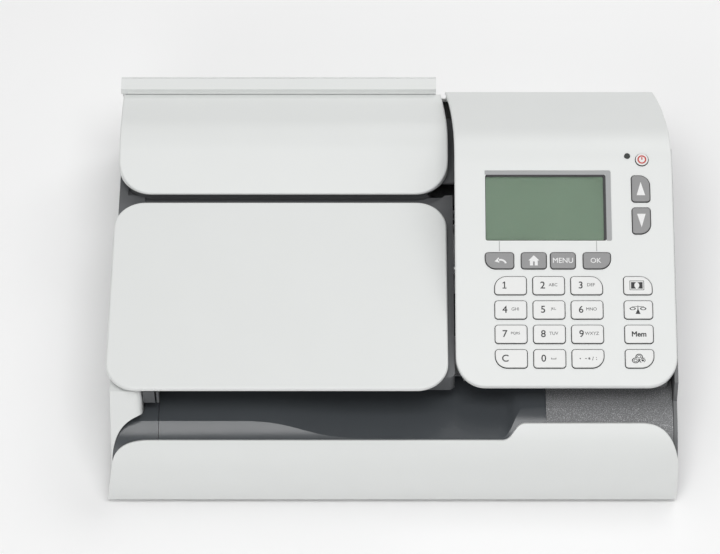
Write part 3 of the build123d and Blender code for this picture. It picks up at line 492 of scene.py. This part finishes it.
def finishes():
    """Every finish by the record's slot name."""
    board_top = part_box("main_board")[0].z + BOARD_FACE
    # Painted shadow: the feet of the keys are darkened as the gap round each key would be shaded.
    foot = key_foot_shade()
    return {
        "white_plastic": moulded("white_plastic", WHITE, 0.40, 0.012, 0.45 * MM, 2e-6),
        "dark_plastic": moulded("dark_plastic", (0.118, 0.122, 0.127), 0.42, 0.03, 0.5 * MM, 3e-6),
        # The second colour is the painted highlight on the pimple tops.
        "textured_plastic": speckled("textured_plastic", (0.155, 0.158, 0.163), (0.42, 0.425, 0.43),
                                     0.55 * MM, 50e-6),
        "deck_plastic": moulded("deck_plastic", (0.066, 0.073, 0.080), 0.21, 0.03, 0.5 * MM, 3e-6),
        "key_white": moulded("key_white", (0.78, 0.785, 0.775), 0.38, 0.012, 0.3 * MM, 2e-6, foot),
        "key_grey": moulded("key_grey", (0.27, 0.27, 0.272), 0.36, 0.04, 0.3 * MM, 3e-6, foot),
        "key_power": moulded("key_power", (0.78, 0.775, 0.765), 0.34, 0.012, 0.3 * MM, 2e-6, foot),
        "rubber": rubber("rubber"),
        "steel": metal("steel", (0.56, 0.57, 0.58), 0.30),
        "aluminium": metal("aluminium", (0.72, 0.73, 0.74), 0.34, (2, 25, 25)),
        "lcd_glass": glass("lcd_glass"),
        "lcd_screen": display("lcd_screen"),
        "led_lens": moulded("led_lens", (0.035, 0.04, 0.038), 0.14, 0.3, 1.0 * MM, 2e-6, Coat_Weight=1.0),
        "circuit_board": board("circuit_board", board_top),
        "black_plastic": moulded("black_plastic", (0.022, 0.022, 0.023), 0.40, 0.2, 0.5 * MM, 8e-6),
        "cartridge_plastic": moulded("cartridge_plastic", (0.16, 0.18, 0.22), 0.32, 0.08, 0.4 * MM, 4e-6),
        "latch_plastic": moulded("latch_plastic", (0.03, 0.16, 0.42), 0.34, 0.06, 0.4 * MM, 4e-6),
    }


def soften_edges():
    """A small moulded radius on the sharp edges of the outer shell."""
    for node, radius in MOULD_RADII.items():
        bevel = NODES[node].modifiers.new("moulded_radius", "BEVEL")
        bevel.width = radius * MM
        bevel.segments = 3
        bevel.limit_method = "ANGLE"
        bevel.angle_limit = math.radians(38)


def dress_nodes(by_slot):
    """Gives every CAD node the finish of its slot in the record."""
    for row in frame["record"]["subparts"]:
        thing = NODES[row["node"]]
        if not thing.material_slots:
            thing.data.materials.append(None)
        for place in thing.material_slots:
            place.material = by_slot[row["material_slot"]]
    # The panel's holes are painted dark as shade, which darkens the outlines round the keys.
    shell = moulded("panel_plastic_shaded_holes", WHITE, 0.40, 0.012, 0.45 * MM, 2e-6, key_field_shade())
    for place in NODES["control_panel"].material_slots:
        place.material = shell


# ---------------------------------------------------------------- legends


def arrow_back():
    """A curved arrow that turns back to the left."""
    band = arc(1.0, 20, 118, 18) + arc(0.72, 118, 20, 18)
    head = [(-0.95, 0.60), (-0.30, 1.28), (-0.22, 0.38)]
    return [band, head]


def house():
    roof = [(-0.62, 0.0), (0, 0.62), (0.62, 0.0), (0.44, 0.0), (0.44, -0.6), (0.1, -0.6)]
    return [roof + [(0.1, -0.12), (-0.1, -0.12), (-0.1, -0.6), (-0.44, -0.6), (-0.44, 0.0)]]


def triangle(up):
    return [[(-0.3, -0.5 * up), (0.3, -0.5 * up), (0.0, 0.5 * up)][:: 1 if up > 0 else -1]]


def stamp():
    """A postage stamp: a frame round two dark fields with a pale oval between them."""
    frame_lines = [rectangle(-0.8, 0.8, -0.55, 0.55), rectangle(-0.74, 0.74, -0.49, 0.49)]
    left = [(-0.64, -0.39)] + arc(0.38, 250, 110, 14, (0.1, 0.0)) + [(-0.64, 0.39)]
    right = [(-x, -y) for x, y in left]
    left = [(x, y) for x, y in left if x <= -0.02]
    right = [(x, y) for x, y in right if x >= 0.02]
    return frame_lines + [left, right]


def balance():
    """A pair of scales: a column on a wide foot, a beam and two round pans."""
    loops = [[(-0.28, -0.5), (0.28, -0.5), (0.05, 0.05), (0.03, 0.52), (-0.03, 0.52), (-0.05, 0.05)]]
    for side in (-1, 1):
        loops.append([(side * 0.06, 0.42), (side * 0.7, 0.38), (side * 0.7, 0.33), (side * 0.06, 0.36)])
        loops += ring(0.36, 0.22, (side * 0.60, 0.13), 0.5)
    return loops


def postmarks():
    """A heap of three round postmarks, drawn as rings."""
    loops = []
    for x, y in ((-0.36, -0.14), (0.36, -0.14), (0.0, 0.26)):
        loops += ring(0.37, 0.27, (x, y), 0.8)
        loops += ring(0.20, 0.13, (x, y), 0.8)
    return loops


def figure_one():
    """A figure one with a flag and a foot."""
    foot = [(-0.26, -0.5), (0.26, -0.5), (0.26, -0.41), (0.06, -0.41)]
    flag = [(0.06, 0.5), (-0.03, 0.5), (-0.24, 0.36), (-0.24, 0.25), (-0.05, 0.36)]
    return foot + flag + [(-0.05, -0.41), (-0.26, -0.41)]


def number_legends(dark, soft):
    """Digits at the left of each white key and its small letters at the right."""
    for key, (digit, small) in WHITE_KEY_LETTERS.items():
        top = top_of(key)
        figure = bolder(drawing(figure_one()), 0.025) if digit == "1" else letters(digit, 0.012)
        figure = fitted(figure, DIGIT_HEIGHT)
        printed("legend_" + key, [(figure, top.place(*DIGIT_PLACE))], key, dark)
        if small:
            word = fitted(letters(small, 0.006), SMALL_LETTER_HEIGHT)
            printed("letters_" + key, [(word, top.place(*SMALL_LETTER_PLACE))], key, soft)
    ends = [rectangle(-0.6, -0.46, 0.08, 0.3), rectangle(0.46, 0.6, 0.08, 0.3)]
    space = drawing(rectangle(-0.6, 0.6, -0.08, 0.08), *ends)
    place = top_of("key_0").place(0.63, 0.5)
    printed("letters_key_0", [(fitted(space, width=3.4 * MM), place)], "key_0", soft)
    places = ((".", 0.24, 0.9), ("-", 0.43, 1.1), ("*", 0.54, 1.6), ("/", 0.66, 1.1), (":", 0.78, 0.6))
    marks = [(fitted(letters(mark, 0.02), width=width * MM), top_of("key_symbols").place(x, 0.5))
             for mark, x, width in places]
    printed("legend_key_symbols", marks, "key_symbols", dark)


def icon_legends(dark, pale, red):
    """Pictures and words on the function keys, the grey keys and the power key."""
    icons = [
        ("key_postage", drawing(*stamp()), 9.8, dark, 0.46),
        ("key_weigh", drawing(*balance()), 11.4, dark, 0.48),
        ("key_memory", letters("Mem", 0.030), 9.8, dark, 0.50),
        ("key_images", drawing(*postmarks()), 9.8, dark, 0.48),
        ("key_back", drawing(*arrow_back()), 8.2, pale, 0.54),
        ("key_home", drawing(*house()), 7.4, pale, 0.5),
        ("key_menu", letters("MENU", 0.006), 13.6, pale, 0.5),
        ("key_ok", letters("OK", 0.006), 7.2, pale, 0.46),
        ("key_up", drawing(*triangle(1)), 5.8, pale, 0.5),
        ("key_down", drawing(*triangle(-1)), 5.8, pale, 0.5),
    ]
    for key, mesh, width, finish, x in icons:
        place = top_of(key).place(x, 0.5)
        printed("legend_" + key, [(fitted(mesh, width=width * MM), place)], key, finish)
    symbol = ring(1.0, 0.68) + [rectangle(-0.14, 0.14, -0.05, 0.56)]
    symbol = fitted(drawing(*symbol), width=6.2 * MM)
    place = top_of("key_power").place(0.5, 0.5)
    printed("legend_key_power", [(symbol, place)], "key_power", red)


def guide_lines(finish):
    """Thin printed lines that join the display to the back key and to the OK key."""
    window = top_of("lcd_window")
    lines = []
    for key in ("key_back", "key_ok"):
        top = top_of(key)
        middle = (top.left + top.right) / 2
        low = top.high + 1.6 * MM
        high = window.low - 0.7 * MM
        shape = drawing(rectangle(-0.3 * MM, 0.3 * MM, 0, high - low))
        lines.append((shape, panel_matrix(middle, low, PANEL_LEVEL)))
    printed("guide_lines", lines, "machine", finish)


# ---------------------------------------------------------------- display


def around(patch, left, right, low, high):
    """A patch's rectangle, grown by so much on each side."""
    return (patch.left - left, patch.right + right, patch.low - low, patch.high + high)


def display_surround(grey, black):
    """A grey sheet on the right and top of the display's step, painted shade on the white ledge, and a thin black
    border at the edge of its window that widens at the right and top into painted shadow.
    """
    window = top_of("lcd_window")
    left, right, low, high = around(window, 0.4 * MM, 3.5 * MM, 0.2 * MM, 2.9 * MM)
    radius = 1.4 * MM
    outside = [(left, window.high), (left, high)] + arc(radius, 90, 0, 6, (right - radius, high - radius))
    inside = [(right, low), (window.right, low), (window.right, window.high)]
    # Painted shade: the grey sheet covers only the right and top of the step, where shadow falls.
    step = drawing(outside + inside)
    flat = panel_matrix(0, 0, window.level)
    printed("display_step_painted_shade", [(step, flat)], "machine", grey, 0.05 * MM)
    # A thin black border, widened at the right and the top into painted shadow from the window's walls.
    mask = drawing(
        rectangle(*around(window, -0.05 * MM, -0.05 * MM, -0.05 * MM, -0.05 * MM), 1.3 * MM),
        rectangle(*around(window, -0.15 * MM, -1.9 * MM, -0.15 * MM, -1.6 * MM), 1.0 * MM),
    )
    printed("display_painted_shadow", [(mask, flat)], "machine", black, 0.08 * MM)


# ---------------------------------------------------------------- sockets, plate and label


def rear_matrix(place):
    """Lays a flat drawing on the rear wall, to be read from behind."""
    matrix = Matrix(((-1, 0, 0), (0, 0, 1), (0, 1, 0))).transposed().to_4x4()
    matrix.translation = place
    return matrix


def scaled(*loops):
    """A drawing whose outlines are given in millimetres."""
    return drawing(*[[(x * MM, y * MM) for x, y in loop] for loop in loops])


def inlet_sleeve(finish):
    """The bare metal tube inside the round power inlet."""
    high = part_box("power_inlet")[1]
    length = 8.5 * MM
    setback = 1.0 * MM
    mouth = next(m["pos_m"] for m in frame["record"]["mounts"] if m["name"] == "power_socket")
    back = rear_matrix(Vector((mouth[0], high.y - setback - length, mouth[2])))
    printed("inlet_sleeve", [(scaled(*ring(3.15, 2.75)), back)], "machine", finish, length)


def socket_contacts(finish):
    """Eight thin wires that rise from the floor of the network socket toward its back."""
    low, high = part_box("data_port")
    pitch, width = 1.02 * MM, 0.4 * MM
    floor_level = high.z - 11.4 * MM
    sideways = Matrix(((0, 1, 0), (0, 0, 1), (1, 0, 0))).transposed().to_4x4()
    wires = []
    for i in range(8):
        place = sideways.copy()
        place.translation = ((low.x + high.x - width) / 2 + (i - 3.5) * pitch, high.y, floor_level)
        wires.append((scaled(CONTACT_WIRE), place))
    printed("socket_contacts", wires, "machine", finish, width)


def rating_plate(plate, dark):
    """A plate on the rear wall that says nothing: a border, ruled lines and a row of bars."""
    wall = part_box("rear_casing")[1].y
    x, z = 5 * MM, 34 * MM
    thickness, stands_out = 0.25 * MM, 0.05 * MM
    half_x, half_z = (size / 2 for size in PLATE_SIZE)
    back = rear_matrix(Vector((x, wall + stands_out - thickness, z)))
    face = rear_matrix(Vector((x, wall + stands_out, z)))
    outline = scaled(rectangle(-half_x, half_x, -half_z, half_z, 1.5))
    printed("rating_plate", [(outline, back)], "machine", plate, thickness)
    marks = [rectangle(gap - half_x, half_x - gap, gap - half_z, half_z - gap, radius)
             for gap, radius in ((1.0, 1.0), (1.4, 0.8))]
    margin = 4 - half_x
    first_line, line_pitch, line_height = 8.0, 4.2, 1.0
    for row, end in enumerate(PLATE_LINE_ENDS):
        low = first_line - line_pitch * row
        marks.append(rectangle(margin, end, low, low + line_height))
    bars_low, bars_high, bar_gap = -10.2, -6.4, 0.7
    left = margin
    for width in PLATE_BARS:
        marks.append(rectangle(left, left + width, bars_low, bars_high))
        left += width + bar_gap
    printed("rating_plate_print", [(scaled(*marks), face)], "machine", dark)


def cartridge_label(paper, dark):
    """A pale label on top of the ink cartridge, with a drop printed on it."""
    low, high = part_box("ink_cartridge")
    grip_height, behind_middle, thickness = 1.4 * MM, 1.2 * MM, 0.1 * MM
    side_margin, half_y = 4, 12.5
    half_x = (high.x - low.x) / 2 / MM - side_margin
    middle = (low + high) / 2
    middle.y += behind_middle
    middle.z = high.z - grip_height
    label = scaled(rectangle(-half_x, half_x, -half_y, half_y, 1.5))
    place = Matrix.Translation(middle)
    printed("cartridge_label", [(label, place)], "carriage", paper, thickness)
    drop = arc(2.6, 150, 390, 20, (0, -1.2)) + [(0.0, 5.0)]
    rules = [rectangle(-half_x + 2, half_x - 2, y, y + 0.7) for y in (-10.5, -8.6, 8.2)]
    ink_place = Matrix.Translation(middle + Vector((0, 0, thickness)))
    printed("cartridge_label_print", [(scaled(drop, *rules), ink_place)], "carriage", dark)


# ---------------------------------------------------------------- stage


def floor():
    half = 6.0
    mesh = bpy.data.meshes.new("floor")
    corners = [(-half, -half, 0), (half, -half, 0), (half, half, 0), (-half, half, 0)]
    mesh.from_pydata(corners, [], [(0, 1, 2, 3)])
    thing = bpy.data.objects.new("floor", mesh)
    bpy.context.scene.collection.objects.link(thing)
    finish = Finish("floor", Roughness=0.9)
    finish.wire(finish.blend(finish.noise(0.5), (0.95, 0.95, 0.95), (0.97, 0.97, 0.97)), "Base Color")
    mesh.materials.append(finish.material)


def softbox(name, direction, distance, size, power, aim=(0, 0, 0.05)):
    light = bpy.data.lights.new(name, "AREA")
    light.shape = "RECTANGLE"
    light.size, light.size_y = size
    light.energy = power
    thing = bpy.data.objects.new(name, light)
    bpy.context.scene.collection.objects.link(thing)
    thing.location = Vector(direction).normalized() * distance
    thing.rotation_euler = (thing.location - Vector(aim)).to_track_quat("Z", "Y").to_euler()


def studio():
    world = bpy.data.worlds.new("studio")
    world.use_nodes = True
    backdrop = world.node_tree.nodes["Background"]
    backdrop.inputs["Color"].default_value = (1.0, 1.0, 1.0, 1)
    backdrop.inputs["Strength"].default_value = 0.40
    bpy.context.scene.world = world
    softbox("overhead", (0.05, -0.27, 1.0), 1.9, (1.3, 0.8), 15)
    softbox("key_light", (0.38, 0.62, 0.84), 2.1, (1.4, 0.7), 9)
    softbox("fill", (-0.35, -0.9, 0.55), 2.6, (1.6, 1.2), 9)


def camera():
    """Looks down at the machine from the front with a long lens."""
    centre = (CAD_BOX[0] + CAD_BOX[1]) / 2
    before_middle = 7 * MM
    aim = Vector((0, centre.y - before_middle, centre.z))
    data = bpy.data.cameras.new("camera")
    data.lens = 162
    data.sensor_width = 36
    data.shift_x = -0.0444
    thing = bpy.data.objects.new("camera", data)
    bpy.context.scene.collection.objects.link(thing)
    backward = Vector((0, -math.cos(CAMERA_ELEVATION), math.sin(CAMERA_ELEVATION)))
    thing.location = aim + backward * CAMERA_DISTANCE
    thing.rotation_euler = (math.radians(90) - CAMERA_ELEVATION, 0, 0)
    bpy.context.scene.camera = thing
    bpy.context.scene.view_settings.view_transform = "Standard"


by_slot = finishes()
dress_nodes(by_slot)
soften_edges()
dark_ink = ink("dark_ink", (0.02, 0.02, 0.022))
soft_ink = ink("soft_ink", (0.07, 0.07, 0.072))
pale_ink = ink("pale_ink", (0.80, 0.80, 0.80))
red_ink = ink("red_ink", (0.52, 0.05, 0.04))
line_ink = ink("line_ink", (0.42, 0.42, 0.42))
# Painted shade: a grey that stands for the white plastic of the display's step in shadow.
shaded_step_grey = moulded("shaded_step_grey", (0.36, 0.365, 0.37), 0.4, 0.03, 0.4 * MM, 3e-6)
number_legends(dark_ink, soft_ink)
icon_legends(dark_ink, pale_ink, red_ink)
guide_lines(line_ink)
display_surround(shaded_step_grey, by_slot["black_plastic"])
inlet_sleeve(by_slot["steel"])
socket_contacts(metal("contact_gold", (0.78, 0.58, 0.26), 0.26))
rating_plate(by_slot["aluminium"], dark_ink)
cartridge_label(by_slot["key_white"], dark_ink)
floor()
studio()
camera()
